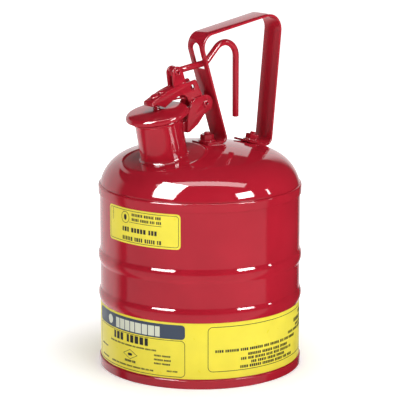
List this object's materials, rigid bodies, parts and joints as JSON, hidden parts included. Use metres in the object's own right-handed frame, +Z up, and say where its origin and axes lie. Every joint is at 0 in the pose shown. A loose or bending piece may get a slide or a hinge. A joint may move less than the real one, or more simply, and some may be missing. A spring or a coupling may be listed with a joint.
{
  "type": "safety gas can",
  "caption": "Cylindrical sheet-steel safety gas can with a domed top, leaning neck, spring-closed cap on a lever, trigger rod and tall strip handle.",
  "frame": {"origin": "centre of the ring that the can stands on, on the can's axis", "axes": "+Z up along the can's axis; the neck leans towards -X, the handle stands towards +X, and Y = 0 is the plane of symmetry"},
  "size_m": [0.1874, 0.1874, 0.3184],
  "materials": {
    "red_enamel": "baked gloss enamel",
    "label_film": "printed satin film",
    "gasket_rubber": "moulded rubber",
    "plated_steel": "zinc plated",
    "brass": "turned"
  },
  "bodies": {
    "can": {"body_shell": "red_enamel", "bottom_pan": "red_enamel", "dome_top": "red_enamel", "band_label": "label_film", "small_label": "label_film", "neck_tube": "red_enamel", "neck_solder_bead": "red_enamel", "flame_arrester": "plated_steel", "arrester_ring": "plated_steel", "hinge_bracket": "red_enamel", "pivot_pin": "red_enamel", "handle": "red_enamel", "front_foot_stud": "red_enamel", "front_foot_washer": "red_enamel", "front_foot_nut": "red_enamel", "rear_foot_stud": "red_enamel", "rear_foot_washer": "red_enamel", "rear_foot_nut": "red_enamel"},
    "lid_arm": {"lever_arm": "red_enamel", "seat_rivet": "red_enamel", "clevis_pin": "red_enamel", "pivot_sleeve": "red_enamel", "closing_spring": "red_enamel", "relief_spring": "plated_steel"},
    "cap": {"cap": "red_enamel", "cap_gasket": "gasket_rubber", "gasket_plate": "plated_steel", "gasket_retainer": "brass", "cap_stud": "red_enamel"},
    "trigger": {"trigger_rod": "red_enamel"}
  },
  "joints": [
    {"name": "lid_hinge", "type": "hinge", "parent": "can", "child": "lid_arm", "pos_m": [0.00015, 0, 0.24386], "axis": [0, 1, 0], "range_deg": [0, 24], "stiffness_Nm_per_rad": 1.2, "springref_deg": -34.38, "deforming": ["closing_spring"]},
    {"name": "cap_float", "type": "slide", "parent": "lid_arm", "child": "cap", "axis": [-0.1942, 0, 0.981], "range_m": [0, 0.0008], "stiffness_N_per_m": 2000, "springref_m": -0.002, "deforming": ["relief_spring"]},
    {"name": "trigger_pivot", "type": "hinge", "parent": "lid_arm", "child": "trigger", "pos_m": [-0.03023, 0, 0.27525], "axis": [0, 1, 0], "range_deg": [-24, 0]}
  ],
  "couplings": [
    {"joint": "trigger_pivot", "follows": "lid_hinge", "ratio": -1}
  ]
}
